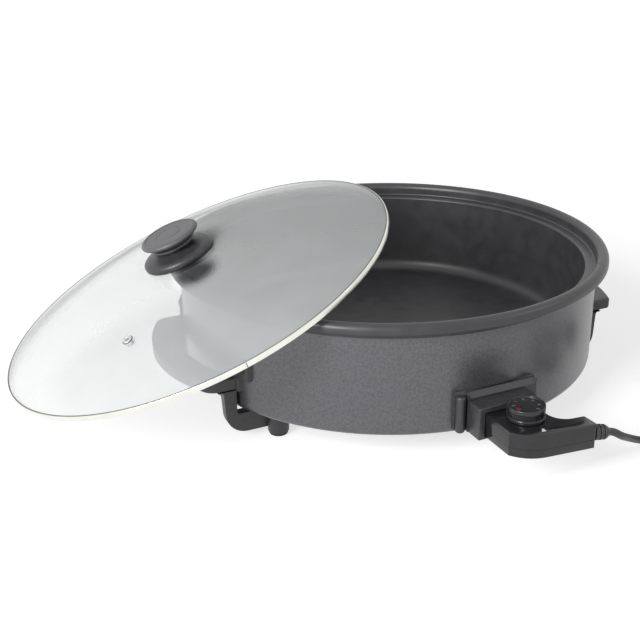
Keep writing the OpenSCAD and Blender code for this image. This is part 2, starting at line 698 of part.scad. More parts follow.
module plug_body() color([0.1, 0.1, 0.11]) translate([plug_x, plug_y + 16, plug_axis_z])
    rotate([-90, 0, 0]) difference() {
        union() {
            cylinder(d1 = 22, d2 = 34, h = 14, $fn = 48);
            translate([0, 0, 14]) cylinder(d = 35, h = 17, $fn = 64);
        }
        translate([17.2, -3, -1]) cube([4, 6, 40]);
        translate([-21.2, -3, -1]) cube([4, 6, 40]);
    }

module plug_relief() color([0.08, 0.08, 0.09]) translate([plug_x, plug_y, plug_axis_z]) rotate([-90, 0, 0])
    cylinder(d1 = 8.4, d2 = 12, h = 16, $fn = 32);

module plug_pins() color([0.8, 0.8, 0.82]) for (s = [-1, 1])
    translate([plug_x + 9.5 * s, plug_y + 47, plug_axis_z]) rotate([-90, 0, 0]) {
        cylinder(d = 4.8, h = 17, $fn = 32);
        translate([0, 0, 17]) cylinder(d1 = 4.8, d2 = 2.8, h = 2, $fn = 32);
    }

inner_pan();
outer_jacket();
jacket_screws();
heating_element();
terminal_block();
probe_well();
socket_shroud();
shroud_screws();
socket_earth_clip();
left_handle();
right_handle();
left_handle_screws();
right_handle_screws();
left_foot_pads();
right_foot_pads();
lid_glass();
lid_rim_band();
lid_vent();
lid_knob_guard();
lid_knob();
lid_knob_seal();
lid_rest_hook();
lid_knob_screw();
control_top_housing();
control_bottom_housing();
housing_screws();
sensor_rod();
contact_sleeves();
control_earth_strip();
thermostat_frame();
bimetal_strip();
contact_blades();
pilot_lamp();
lamp_lens();
dial();
dial_mark();
dial_shaft();
strain_relief();
cord();
cord_coil();
plug_body();
plug_relief();
plug_pins();
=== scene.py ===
import math

import bmesh
import bpy
from mathutils import Matrix, Vector


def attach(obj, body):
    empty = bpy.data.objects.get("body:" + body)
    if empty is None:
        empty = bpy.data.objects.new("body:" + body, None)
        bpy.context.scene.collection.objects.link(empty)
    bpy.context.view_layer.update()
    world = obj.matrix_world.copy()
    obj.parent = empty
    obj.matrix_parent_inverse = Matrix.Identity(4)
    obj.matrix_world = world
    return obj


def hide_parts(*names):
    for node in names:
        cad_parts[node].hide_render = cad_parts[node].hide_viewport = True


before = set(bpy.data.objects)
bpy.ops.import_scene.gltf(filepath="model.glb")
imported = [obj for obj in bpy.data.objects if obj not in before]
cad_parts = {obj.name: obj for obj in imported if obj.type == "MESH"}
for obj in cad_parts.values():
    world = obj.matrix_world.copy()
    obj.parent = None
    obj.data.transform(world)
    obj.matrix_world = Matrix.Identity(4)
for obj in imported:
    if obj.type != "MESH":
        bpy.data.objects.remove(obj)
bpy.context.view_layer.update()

# ---------------------------------------------------------------------------
# The table and the studio.  A white table carries the skillet and keeps its
# shadow; a soft box at the front left lights it, with a weak one at the right.
# ---------------------------------------------------------------------------
scene = bpy.context.scene
scene.view_settings.view_transform = "Standard"
AMBIENT = 0.2
WHITE = (1, 1, 1, 1)
TABLE_HALF = 6.0
GLOW_NEAR, GLOW_FAR = 0.7, 0.92
GLOW_START, GLOW_STOP = 0.3, 1.4


def combined(tree, way, first, second):
    """Two values made one by a sum of the kind that way names."""
    node = tree.nodes.new("ShaderNodeMath")
    node.operation = way
    tree.links.new(first, node.inputs[0])
    tree.links.new(second, node.inputs[1])
    return node.outputs["Value"]


def scaled(tree, value, start, stop, low, high, course="LINEAR"):
    """Carries what lies between start and stop over to low and high."""
    node = tree.nodes.new("ShaderNodeMapRange")
    node.interpolation_type = course
    for socket, number in (("From Min", start), ("From Max", stop), ("To Min", low), ("To Max", high)):
        node.inputs[socket].default_value = number
    tree.links.new(value, node.inputs["Value"])
    return node.outputs["Result"]


def distance_from(tree, spot):
    """How far the surface lies from one spot."""
    place = tree.nodes.new("ShaderNodeTexCoord")
    reach = tree.nodes.new("ShaderNodeVectorMath")
    reach.operation = "DISTANCE"
    reach.inputs[1].default_value = spot
    tree.links.new(place.outputs["Object"], reach.inputs[0])
    return reach.outputs["Value"]


def seen_directly(tree):
    """1 for what is seen, mirrored or looked at through glass, and 0 for what only lights."""
    path = tree.nodes.new("ShaderNodeLightPath")
    total = path.outputs["Is Camera Ray"]
    for way in ("Is Glossy Ray", "Is Transmission Ray"):
        total = combined(tree, "MAXIMUM", total, path.outputs[way])
    return total


world = bpy.data.worlds.new("studio")
scene.world = world
world.use_nodes = True
sky = world.node_tree
sky.nodes["Background"].inputs["Color"].default_value = WHITE
sky.links.new(scaled(sky, seen_directly(sky), 0, 1, AMBIENT, 1), sky.nodes["Background"].inputs["Strength"])

table_bm = bmesh.new()
bmesh.ops.create_grid(table_bm, x_segments=1, y_segments=1, size=TABLE_HALF)
table_mesh = bpy.data.meshes.new("table")
table_bm.to_mesh(table_mesh)
table_bm.free()
table = bpy.data.objects.new("table", table_mesh)
bpy.context.collection.objects.link(table)
table_white = bpy.data.materials.new("table_white")
table_white.use_nodes = True
table_nodes = table_white.node_tree
table_shader = table_nodes.nodes["Principled BSDF"]
table_shader.inputs["Base Color"].default_value = (0.55, 0.55, 0.55, 1)
table_shader.inputs["Roughness"].default_value = 0.9
table_shader.inputs["Specular IOR Level"].default_value = 0.0
table_shader.inputs["Emission Color"].default_value = WHITE
table_glow = scaled(table_nodes, distance_from(table_nodes, (0, 0, 0)), GLOW_START, GLOW_STOP,
                    GLOW_NEAR, GLOW_FAR)
table_nodes.links.new(combined(table_nodes, "MULTIPLY", seen_directly(table_nodes), table_glow),
                      table_shader.inputs["Emission Strength"])
table_mesh.materials.append(table_white)


def soft_box(name, place, aim, width, watts):
    """A square lamp that hangs at place and points at aim."""
    light = bpy.data.lights.new(name, "AREA")
    light.shape = "SQUARE"
    light.size, light.energy = width, watts
    lamp = bpy.data.objects.new(name, light)
    lamp.location = place
    lamp.rotation_euler = (Vector(aim) - Vector(place)).to_track_quat("-Z", "Y").to_euler()
    bpy.context.collection.objects.link(lamp)


soft_box("key", (-1.9, -0.95, 1.25), (0, 0, 0.08), 0.9, 58)
soft_box("fill", (1.35, -1.0, 1.25), (0, -0.1, 0.06), 0.26, 2.6)

# The camera stands low at the front left, and leans a little to one side.
CAMERA_AT = (-0.4338, -0.8159, 0.4472)
HEADING, DIP, ROLL = math.radians(23.95), math.radians(23.25), math.radians(-1.19)
ahead = Vector((math.sin(HEADING) * math.cos(DIP), math.cos(HEADING) * math.cos(DIP), -math.sin(DIP)))
level = Vector((math.cos(HEADING), -math.sin(HEADING), 0))
upright = level.cross(ahead)
right = level * math.cos(ROLL) + upright * math.sin(ROLL)
up = upright * math.cos(ROLL) - level * math.sin(ROLL)
camera_data = bpy.data.cameras.new("camera")
camera_data.lens, camera_data.sensor_width = 56.25, 36.0
camera = bpy.data.objects.new("camera", camera_data)
camera.matrix_world = Matrix.Translation(CAMERA_AT) @ Matrix((right, up, -ahead)).transposed().to_4x4()
bpy.context.collection.objects.link(camera)
scene.camera = camera

# ---------------------------------------------------------------------------
# The mains cord.  Three-core rubber cord, 6.4 mm thick and about a metre long.
# It leaves the control through a ribbed relief, lies in a tied coil of a little
# over three turns and ends in a round two-pin plug.
# ---------------------------------------------------------------------------
mm = 0.001
CORD_D = 6.4 * mm
COIL_X, COIL_Y = 200.0, -246.0
COIL_OUT, COIL_IN = 41.4, 35.0
COIL_LOW, COIL_HIGH = 3.9, 10.3
COIL_START, COIL_TURNS, COIL_POINTS = -95.0, 3.26, 60
CORD_STEP = 3.5
CORD_EXIT = (60.3, -269.98, 44.08)
lead = [CORD_EXIT, (62.8, -270.25, 43.6), (66.2, -270.6, 42), (72, -269.4, 37.9), (80, -265.2, 32.2),
        (90, -259.2, 25.6), (101, -253.4, 18.6), (112.5, -249, 12.2), (124, -247.4, 7.3), (136, -249.4, 4.4),
        (147, -256.5, 3.7), (156, -267, 3.7), (166, -277, 3.8), (178, -283.8, 3.9)]


def eased(turn, start, stop, low, high):
    """low before start, high after stop, and an even S between them."""
    t = min(max((turn - start) / (stop - start), 0.0), 1.0)
    return low + (high - low) * t * t * (3 - 2 * t)


def coil_at(turn):
    """Centre of the cord after so many turns: out and in on the table, then up and out."""
    reach = eased(turn, 0.87, 1.0, COIL_OUT, COIL_IN) + eased(turn, 2.6, 2.78, 0.0, COIL_OUT - COIL_IN)
    height = eased(turn, 1.76, 1.94, COIL_LOW, COIL_HIGH)
    a = math.radians(COIL_START + 360 * turn)
    return (COIL_X + reach * math.cos(a), COIL_Y + reach * math.sin(a), height)


def through(points, step):
    """A smooth line through the points, with a new point every step or so."""
    p = [Vector(q) for q in points]
    p = [2 * p[0] - p[1]] + p + [2 * p[-1] - p[-2]]
    line = []
    for a, b, c, d in zip(p, p[1:], p[2:], p[3:]):
        count = max(1, round((c - b).length / step))
        for i in range(count):
            t = i / count
            line.append(0.5 * (2 * b + (c - a) * t + (2 * a - 5 * b + 4 * c - d) * t ** 2
                               + (3 * b - a - 3 * c + d) * t ** 3))
    return line + [p[-2]]


winding = [coil_at(COIL_TURNS * i / COIL_POINTS) for i in range(COIL_POINTS + 1)]
tail = [(242.6, -237, 11.2), (243, -228, 14), (243, -218, 16.8), (243, -210, 17.9), (243, -206.5, 18)]
cord_line = [Vector(p) * mm for p in through(lead + winding + tail, CORD_STEP)]

cord_curve = bpy.data.curves.new("mains_cord", "CURVE")
cord_curve.dimensions = "3D"
cord_curve.bevel_depth = CORD_D / 2
cord_curve.bevel_resolution = 5
cord_curve.use_fill_caps = True
spline = cord_curve.splines.new("POLY")
spline.points.add(len(cord_line) - 1)
for point, place in zip(spline.points, cord_line):
    point.co = (*place, 1)
spline.use_smooth = True
mains_cord = bpy.data.objects.new("mains_cord", cord_curve)
bpy.context.collection.objects.link(mains_cord)


def finish_of(name, colour, roughness, metallic=0.0, **sockets):
    """A surface with one colour and gloss all over, for grain or dents to vary."""
    material = bpy.data.materials.new(name)
    material.use_nodes = True
    shader = material.node_tree.nodes["Principled BSDF"]
    shader.inputs["Base Color"].default_value = (*colour, 1)
    shader.inputs["Roughness"].default_value = roughness
    shader.inputs["Metallic"].default_value = metallic
    for socket, value in sockets.items():
        shader.inputs[socket.replace("_", " ")].default_value = value
    return material


def grain(material, scale, colours, gloss, bump=0.0, depth=0.0002):
    """Cloudy change of colour and gloss, and a fine unevenness, of features 1/scale metres wide."""
    tree = material.node_tree
    shader = tree.nodes["Principled BSDF"]
    place = tree.nodes.new("ShaderNodeTexCoord")
    noise = tree.nodes.new("ShaderNodeTexNoise")
    noise.inputs["Scale"].default_value = scale
    noise.inputs["Detail"].default_value = 5.0
    tree.links.new(place.outputs["Object"], noise.inputs["Vector"])
    blend = tree.nodes.new("ShaderNodeValToRGB")
    blend.color_ramp.elements[0].position, blend.color_ramp.elements[1].position = 0.32, 0.68
    blend.color_ramp.elements[0].color = (*colours[0], 1)
    blend.color_ramp.elements[1].color = (*colours[1], 1)
    tree.links.new(noise.outputs["Fac"], blend.inputs["Fac"])
    tree.links.new(blend.outputs["Color"], shader.inputs["Base Color"])
    tree.links.new(scaled(tree, noise.outputs["Fac"], 0.3, 0.7, *gloss), shader.inputs["Roughness"])
    if bump:
        relief = tree.nodes.new("ShaderNodeBump")
        relief.inputs["Strength"].default_value = bump
        relief.inputs["Distance"].default_value = depth
        tree.links.new(noise.outputs["Fac"], relief.inputs["Height"])
        tree.links.new(relief.outputs["Normal"], shader.inputs["Normal"])
    return material


cord_rubber = grain(finish_of("cord_rubber", (0.03, 0.03, 0.032), 0.55), 900,
                    ((0.026, 0.026, 0.028), (0.05, 0.05, 0.053)), (0.42, 0.6), 0.25, 0.0002)
cord_curve.materials.append(cord_rubber)
CREASE = math.radians(32)


def made(name, bm, body, material, *stands_for):
    """The finished piece: smooth but for edges sharper than CREASE, riding on its body."""
    for face in bm.faces:
        face.smooth = True
    for edge in bm.edges:
        edge.smooth = len(edge.link_faces) == 2 and edge.calc_face_angle(0) < CREASE
    mesh = bpy.data.meshes.new(name)
    bm.to_mesh(mesh)
    bm.free()
    mesh.materials.append(material)
    piece = bpy.data.objects.new(name, mesh)
    bpy.context.collection.objects.link(piece)
    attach(piece, body)
    if stands_for:
        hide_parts(*stands_for)
    return piece


NEAR = 2e-6


def rounded(bm, edges, radius, segments):
    """Rounds the edges over, by radius millimetres."""
    bmesh.ops.bevel(bm, geom=edges, offset=radius * mm, offset_type="OFFSET", segments=segments,
                    profile=0.5, affect="EDGES", material=-1, clamp_overlap=True)


def draw_out(bm, faces, height):
    """Draws the faces out along Z, in millimetres, with walls behind them."""
    drawn = bmesh.ops.extrude_face_region(bm, geom=faces)
    bmesh.ops.translate(bm, vec=(0, 0, height * mm),
                        verts=[v for v in drawn["geom"] if isinstance(v, bmesh.types.BMVert)])


def turned(corners, steps, closed=True):
    """Turned round Z from a half outline of (radius, height, rounding), in millimetres."""
    bm = bmesh.new()
    line = [bm.verts.new((r * mm, 0, z * mm)) for r, z, _ in corners]
    edges = [bm.edges.new(pair) for pair in zip(line, line[1:])]
    if closed:
        edges.append(bm.edges.new((line[-1], line[0])))
    bmesh.ops.spin(bm, geom=line + edges, cent=(0, 0, 0), axis=(0, 0, 1), dvec=(0, 0, 0),
                   angle=2 * math.pi, steps=steps, use_merge=True, use_duplicate=False)
    bmesh.ops.remove_doubles(bm, verts=bm.verts, dist=1e-6)
    bmesh.ops.dissolve_degenerate(bm, edges=bm.edges, dist=1e-7)
    for r, z, rounding in corners:
        if rounding:
            rounded(bm, [e for e in bm.edges if all(abs(v.co.z - z * mm) < NEAR
                         and abs(v.co.xy.length - r * mm) < NEAR for v in e.verts)], rounding, 5)
    bmesh.ops.recalc_face_normals(bm, faces=bm.faces)
    return bm


def pressed(corners, low, high):
    """A block between two heights, from a plan outline of (x, y, rounding), in millimetres."""
    bm = bmesh.new()
    plan = [bm.verts.new((x * mm, y * mm, low * mm)) for x, y, _ in corners]
    draw_out(bm, [bm.faces.new(plan)], high - low)
    for x, y, rounding in corners:
        if rounding:
            rounded(bm, [e for e in bm.edges if all(abs(v.co.x - x * mm) < NEAR
                         and abs(v.co.y - y * mm) < NEAR for v in e.verts)], rounding, 8)
    bmesh.ops.recalc_face_normals(bm, faces=bm.faces)
    return bm


def soften(bm, radius, where=None, angle=38, segments=3):
    """Rounds every sharp edge, or those that pass the test."""
    rounded(bm, [e for e in bm.edges if len(e.link_faces) == 2 and e.calc_face_angle(0) > math.radians(angle)
                 and (where is None or where(e))], radius, segments)
    return bm


def placed(bm, *moves):
    """Applies the moves in the order they're given."""
    for move in moves:
        bmesh.ops.transform(bm, matrix=move, verts=bm.verts)
    return bm


def added(bm, *others):
    """Puts the others into the same piece."""
    for other in others:
        spare = bpy.data.meshes.new("spare")
        other.to_mesh(spare)
        other.free()
        bm.from_mesh(spare)
        bpy.data.meshes.remove(spare)
    return bm


def shift(x=0.0, y=0.0, z=0.0):
    """A move by millimetres."""
    return Matrix.Translation((x * mm, y * mm, z * mm))


def spun(degrees, axis="Z"):
    """A turn about one of the main axes."""
    return Matrix.Rotation(math.radians(degrees), 4, axis)


# the ribbed relief that grips the cord where it leaves the control
RELIEF = shift(41.5, -268, 47.2) @ spun(-6) @ spun(99, "Y")
relief_bm = placed(turned([(0, -1, 0), (4.6, -1, 0), (4.6, 3.6, 0.3), (6.6, 4, 0.6), (6.6, 7, 0.4),
                           (5.2, 7.1, 0.2), (5.2, 8.1, 0.2), (6.5, 8.2, 0.4), (6.5, 10.7, 0.4),
                           (5.2, 10.8, 0.2), (5.2, 11.8, 0.2), (6.3, 11.9, 0.4), (6.3, 14, 0.8),
                           (3.9, 17.6, 0.5), (3.2, 19.4, 0.3), (3.2, 14, 0), (0, 14, 0)],
                          48, closed=False), RELIEF)
relief_rubber = grain(finish_of("relief_rubber", (0.03, 0.03, 0.032), 0.45), 700,
                      ((0.024, 0.024, 0.026), (0.042, 0.042, 0.045)), (0.36, 0.5), 0.2, 0.0002)
cord_relief = made("cord_relief", relief_bm, "control", relief_rubber, "strain_relief")

# the cloth tie round the coil
TIE_WAY, TIE_T = 150.0, 0.5
tie_bm = pressed([(-7.1, -6.7, 1.6), (7.1, -6.7, 1.6), (7.1, 6.7, 1.6), (-7.1, 6.7, 1.6)], -4, 4)
bmesh.ops.delete(tie_bm, geom=[f for f in tie_bm.faces if abs(f.normal.z) > 0.9], context="FACES_ONLY")
bmesh.ops.solidify(tie_bm, geom=tie_bm.faces, thickness=TIE_T * mm)
placed(tie_bm, spun(90, "X"), shift(x=(COIL_OUT + COIL_IN) / 2, z=(COIL_LOW + COIL_HIGH) / 2), spun(TIE_WAY),
       shift(COIL_X, COIL_Y))
tie_cloth = grain(finish_of("tie_cloth", (0.02, 0.02, 0.02), 0.85, Sheen_Weight=0.3), 1600,
                  ((0.014, 0.014, 0.015), (0.045, 0.045, 0.047)), (0.75, 0.95), 0.6, 0.0003)
cord_tie = made("cord_tie", tie_bm, "control", tie_cloth)

# the round plug with side earth clips, moulded on the cord's end
PLUG = shift(243, -207, 18) @ spun(-90, "X")
PIN_OUT, CLIP_OUT = 9.5, 15.6
plug_bm = turned([(0, 12, 0), (4.4, 12, 0), (6.4, 15.5, 1.0), (11.4, 17, 2.0), (12.4, 24, 3.0),
                  (17.3, 31, 3.0), (17.3, 47, 1.0), (15.6, 47, 0.5), (15.6, 46, 0.4), (0, 46, 0)],
                 64, closed=False)
slots = [f for f in plug_bm.faces if abs(f.calc_center_median().x) > 16.2 * mm
         and 31.5 * mm < f.calc_center_median().z < 46.8 * mm]
pushed = bmesh.ops.extrude_face_region(plug_bm, geom=slots)
bmesh.ops.scale(plug_bm, vec=(0.86, 1, 1),
                verts=[v for v in pushed["geom"] if isinstance(v, bmesh.types.BMVert)])
bmesh.ops.delete(plug_bm, geom=[f for f in slots if f.is_valid], context="FACES")
bmesh.ops.recalc_face_normals(plug_bm, faces=plug_bm.faces)
placed(plug_bm, PLUG)
plug_case = made("plug_case", plug_bm, "control", relief_rubber, "plug_body")

sleeve_bm = placed(turned([(0, 0, 0), (3.9, 0, 0.4), (4.2, 3, 0), (4.2, 4.2, 0), (3.6, 4.6, 0), (3.6, 6, 0),
                           (4.5, 6.4, 0), (4.6, 8.6, 0), (4.0, 9, 0), (4.0, 10.4, 0), (5.0, 10.8, 0),
                           (5.4, 16, 0), (0, 16, 0)], 48, closed=False), PLUG)
plug_sleeve = made("plug_sleeve", sleeve_bm, "control", relief_rubber, "plug_relief")

pin_plate = grain(finish_of("pin_plate", (0.72, 0.72, 0.74), 0.25, 1.0), 300,
                  ((0.62, 0.62, 0.64), (0.78, 0.78, 0.8)), (0.18, 0.34))
pins_bm = added(*[placed(turned([(0, 46, 0), (3.4, 46, 0), (3.4, 47.2, 0.3), (2.4, 47.2, 0), (2.4, 64, 0),
                                 (1.5, 66, 0.5), (0, 66, 0)], 32, closed=False),
                         shift(x=side * PIN_OUT), PLUG) for side in (-1, 1)])
plug_prongs = made("plug_prongs", pins_bm, "control", pin_plate, "plug_pins")
clips_bm = added(*[soften(placed(pressed([(-0.4, -2.6, 0.3), (0.4, -2.6, 0.3), (0.4, 2.6, 0.3),
                                          (-0.4, 2.6, 0.3)], 33, 46.4),
                                 shift(x=side * CLIP_OUT), PLUG), 0.15) for side in (-1, 1)])
plug_clips = made("plug_clips", clips_bm, "control", pin_plate)

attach(mains_cord, "control")
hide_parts("cord", "cord_coil")

# ---------------------------------------------------------------------------
# The pan.  Pressed aluminium with a dark coating inside and out.  Its rim is
# rolled over into a bead, and a flat step below the rim seats the lid.
# ---------------------------------------------------------------------------
pan_coating = grain(finish_of("pan_coating", (0.04, 0.04, 0.043), 0.42, Specular_IOR_Level=0.55), 60,
                    ((0.034, 0.034, 0.037), (0.046, 0.046, 0.05)), (0.36, 0.46), 0.04, 0.0002)
pan_bm = turned([(0, 33, 0), (191, 33, 15), (191, 119.5, 0), (201, 119.5, 1), (201, 132, 3.2),
                 (207.5, 132, 3.2), (207.5, 126, 0), (210, 126, 0.6), (210, 134.5, 5.7), (198.5, 134.5, 5.7),
                 (198.5, 122, 1.6), (188.5, 122, 2.2), (188.5, 36, 12.5), (0, 36, 0)], 192, closed=False)
# three bosses below the floor take the jacket's screws
BOSS_OUT, BOSS_WAYS = 165, (60, 180, 300)
for way in BOSS_WAYS:
    added(pan_bm, placed(turned([(0, 30.2, 0), (6, 30.2, 0.5), (6, 33.5, 0), (0, 33.5, 0)], 32, closed=False),
                         shift(x=BOSS_OUT), spun(way)))
# a ridge that holds the element, open at the front for its two leads
LEAD_WAY = math.asin(26 / 127)
ridge_bm = bmesh.new()
ridge_bm.faces.new([ridge_bm.verts.new((0, -r * mm, z * mm)) for r, z in (
    (107, 33.5), (107, 25.4), (111.2, 25), (112.4, 27.8), (115, 28.8), (117.6, 27.8), (118.8, 25),
    (123, 25.4), (123, 33.5))])
bmesh.ops.rotate(ridge_bm, cent=(0, 0, 0), matrix=Matrix.Rotation(LEAD_WAY, 3, "Z"), verts=ridge_bm.verts)
bmesh.ops.spin(ridge_bm, geom=ridge_bm.faces[:], cent=(0, 0, 0), axis=(0, 0, 1), dvec=(0, 0, 0),
               angle=2 * math.pi - 2 * LEAD_WAY, steps=120, use_merge=False, use_duplicate=False)
bmesh.ops.recalc_face_normals(ridge_bm, faces=ridge_bm.faces)
added(pan_bm, ridge_bm)
pan = made("pan", pan_bm, "base", pan_coating, "inner_pan")

# ---------------------------------------------------------------------------
# The jacket.  A drawn steel shell round the pan in grey hammered paint, held
# by three screws from below.
# ---------------------------------------------------------------------------
def dents(material, cells, bump, depth):
    """Shallow round pools with raised edges between them, as many to the metre as there are cells."""
    tree = material.node_tree
    shader = tree.nodes["Principled BSDF"]
    place = tree.nodes.new("ShaderNodeTexCoord")
    bend = tree.nodes.new("ShaderNodeTexNoise")
    bend.inputs["Scale"].default_value = cells * 0.7
    bend.inputs["Detail"].default_value = 2.0
    tree.links.new(place.outputs["Object"], bend.inputs["Vector"])
    mixed = tree.nodes.new("ShaderNodeMix")
    mixed.data_type = "VECTOR"
    mixed.inputs["Factor"].default_value = 0.004
    tree.links.new(place.outputs["Object"], mixed.inputs[4])
    tree.links.new(bend.outputs["Color"], mixed.inputs[5])
    pools = tree.nodes.new("ShaderNodeTexVoronoi")
    pools.feature = "SMOOTH_F1"
    pools.inputs["Scale"].default_value = cells
    pools.inputs["Smoothness"].default_value = 0.35
    tree.links.new(mixed.outputs[1], pools.inputs["Vector"])
    relief = tree.nodes.new("ShaderNodeBump")
    relief.inputs["Strength"].default_value = bump
    relief.inputs["Distance"].default_value = depth
    tree.links.new(pools.outputs["Distance"], relief.inputs["Height"])
    tree.links.new(relief.outputs["Normal"], shader.inputs["Normal"])
    tint = tree.nodes.new("ShaderNodeValToRGB")
    tint.color_ramp.elements[0].position, tint.color_ramp.elements[1].position = 0.1, 0.75
    tint.color_ramp.elements[0].color = (0.15, 0.148, 0.158, 1)
    tint.color_ramp.elements[1].color = (0.112, 0.111, 0.119, 1)
    tree.links.new(pools.outputs["Distance"], tint.inputs["Fac"])
    tree.links.new(tint.outputs["Color"], shader.inputs["Base Color"])
    return material


hammer_paint = dents(finish_of("hammer_paint", (0.13, 0.13, 0.137), 0.28, 0.5), 520, 0.17, 0.0005)
jacket_bm = turned([(150, 29, 0.3), (199.5, 29, 6.5), (199.5, 119.5, 0), (198.3, 119.5, 0),
                    (198.3, 30.2, 5.3), (150, 30.2, 0.3)], 192)
jacket = made("jacket", jacket_bm, "base", hammer_paint, "outer_jacket")

zinc_plate = grain(finish_of("zinc_plate", (0.6, 0.6, 0.62), 0.32, 1.0), 500,
                   ((0.48, 0.48, 0.5), (0.66, 0.66, 0.68)), (0.25, 0.42), 0.1, 0.0001)


def screw_head():
    """An 8 mm pan head with a cross, standing up from its seat."""
    head = turned([(0, 0, 0), (4, 0, 0), (4, 1.32, 0.72), (2.72, 2.4, 0.64), (0, 2.4, 0)], 32, closed=False)
    for turn in (0, 90):
        added(head, placed(pressed([(-2, -0.35, 0), (2, -0.35, 0), (2, 0.35, 0), (-2, 0.35, 0)], 1.2, 2.42),
                           spun(turn)))
    return head


jacket_screws_bm = added(*[placed(screw_head(), spun(180, "X"), shift(x=BOSS_OUT, z=29), spun(way))
                           for way in BOSS_WAYS])
jacket_fixings = made("jacket_fixings", jacket_screws_bm, "base", zinc_plate, "jacket_screws")

# ---------------------------------------------------------------------------
# The heating element and its contacts.  A sheathed ring darkened by heat, a
# ceramic plate behind the pins and a steel well for the control's sensor.
# ---------------------------------------------------------------------------
def coated(material, *solids):
    """Gives solids that are shown as they are their finish."""
    for solid in solids:
        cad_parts[solid].data.materials[0] = material


sheath = grain(finish_of("sheath", (0.2, 0.19, 0.18), 0.5, 0.9), 90,
               ((0.13, 0.115, 0.105), (0.3, 0.285, 0.275)), (0.38, 0.6), 0.15, 0.0001)
coated(sheath, "heating_element")
ceramic = grain(finish_of("ceramic", (0.8, 0.77, 0.7), 0.7), 400,
                ((0.74, 0.7, 0.62), (0.84, 0.81, 0.75)), (0.6, 0.8), 0.3, 0.0002)
coated(ceramic, "terminal_block")
steel = grain(finish_of("steel", (0.66, 0.66, 0.67), 0.3, 1.0), 220,
              ((0.58, 0.58, 0.59), (0.7, 0.7, 0.71)), (0.22, 0.38), 0.06, 0.0001)
coated(steel, "probe_well")

# ---------------------------------------------------------------------------
# The two handle brackets.  Each is one black phenolic moulding: a curved grip,
# two legs that turn in below the pan to the feet, and two ears that are screwed
# to the wall.  A rubber pad is pressed on each foot.
# ---------------------------------------------------------------------------
phenolic = grain(finish_of("phenolic", (0.035, 0.035, 0.038), 0.42), 260,
                 ((0.03, 0.03, 0.033), (0.044, 0.044, 0.047)), (0.34, 0.46), 0.12, 0.00015)
GRIP_LOW, GRIP_HIGH, GRIP_HALF = 51.0, 62.0, 79.0
GRIP_OUT, GRIP_IN, GRIP_IN_BOW = 234.0, 209.6, 132.0
LEG_IN, LEG_OUT, LEG_WIDE, LEG_AT = 187.4, 199.0, 9.5, 74.5
ARM_LOW, ARM_HIGH, ARM_BEND = 8.1, 26.6, 18.4
PEG_X, PEG_Y, PEG_D = 150.0, 80.5, 19.2
PEG_LOW, PEG_HIGH = 3.0, 28.9
EAR_IN, EAR_OUT = 199.0, 203.6
SCREW_HIGH, SCREW_WAY = 72, 24.95


def grip_edge(bm, reach, bow):
    """The edge of the grip that bows out to reach, from end to end."""
    swing = math.asin(GRIP_HALF / bow)
    start = bm.verts.new(((reach - bow + bow * math.cos(swing)) * mm, -GRIP_HALF * mm, GRIP_LOW * mm))
    bmesh.ops.spin(bm, geom=[start], cent=((reach - bow) * mm, 0, GRIP_LOW * mm), axis=(0, 0, 1),
                   dvec=(0, 0, 0), angle=2 * swing, steps=24, use_merge=False, use_duplicate=False)


def wrapped(bm, cuts, side=1):
    """Bends a plate of (width, height, radius) round the pan's axis, so that it faces +X."""
    for cut in cuts:
        bmesh.ops.bisect_plane(bm, geom=bm.verts[:] + bm.edges[:] + bm.faces[:], plane_co=(cut * mm, 0, 0),
                               plane_no=(1, 0, 0))
    for v in bm.verts:
        width, height, radius = v.co
        v.co = (math.sqrt(radius ** 2 - width ** 2), side * width, height)
    bmesh.ops.recalc_face_normals(bm, faces=bm.faces)
    return bm


def bracket(bow, corner):
    """The whole bracket: bow bends the grip's outer edge, and corner rounds its ends."""
    grip = bmesh.new()
    grip_edge(grip, GRIP_OUT, bow)
    grip_edge(grip, GRIP_IN, GRIP_IN_BOW)
    bmesh.ops.bridge_loops(grip, edges=grip.edges)
    draw_out(grip, grip.faces[:], GRIP_HIGH - GRIP_LOW)
    bmesh.ops.recalc_face_normals(grip, faces=grip.faces)
    soften(grip, corner, where=lambda e: all(v.co.x > 200 * mm and abs(v.co.y) > (GRIP_HALF - 0.1) * mm
                                             for v in e.verts)
           and abs(e.verts[0].co.z - e.verts[1].co.z) > 5 * mm, segments=8)
    soften(grip, 2.2, segments=4)
    for side in (-1, 1):
        leg = pressed([(LEG_IN, GRIP_LOW - 1, 0), (LEG_IN, ARM_HIGH, 2.5), (PEG_X, ARM_HIGH, 0),
                       (PEG_X, ARM_LOW, 0), (LEG_OUT - 2.1, ARM_LOW, ARM_BEND),
                       (LEG_OUT - 0.1, GRIP_LOW - 0.1, 4), (LEG_OUT + 5, GRIP_LOW - 0.1, 0),
                       (LEG_OUT + 5, GRIP_LOW - 1, 0)], -LEG_WIDE / 2, LEG_WIDE / 2)
        soften(leg, 1.4, where=lambda e: all(v.co.y < 47 * mm for v in e.verts))
        placed(leg, spun(90, "X"), shift(y=side * LEG_AT))
        peg = turned([(0, PEG_LOW, 0), (PEG_D / 2, PEG_LOW, 0.8), (PEG_D / 2, PEG_HIGH, 0.8),
                      (0, PEG_HIGH, 0)], 48, closed=False)
        placed(peg, shift(PEG_X, side * PEG_Y))
        ear = pressed([(72, 49.5, 0), (81, 49.5, 0), (81, 62, 1.5), (93, 62, 2), (93, 80, 5), (77, 80, 5),
                       (77, 75, 0), (72, 75, 2)], EAR_IN, EAR_OUT)
        soften(ear, 1.2, where=lambda e: all(v.co.z > (EAR_OUT - 0.1) * mm for v in e.verts))
        wrapped(ear, (75, 79, 83, 87, 90), side)
        added(grip, leg, peg, ear)
    return grip


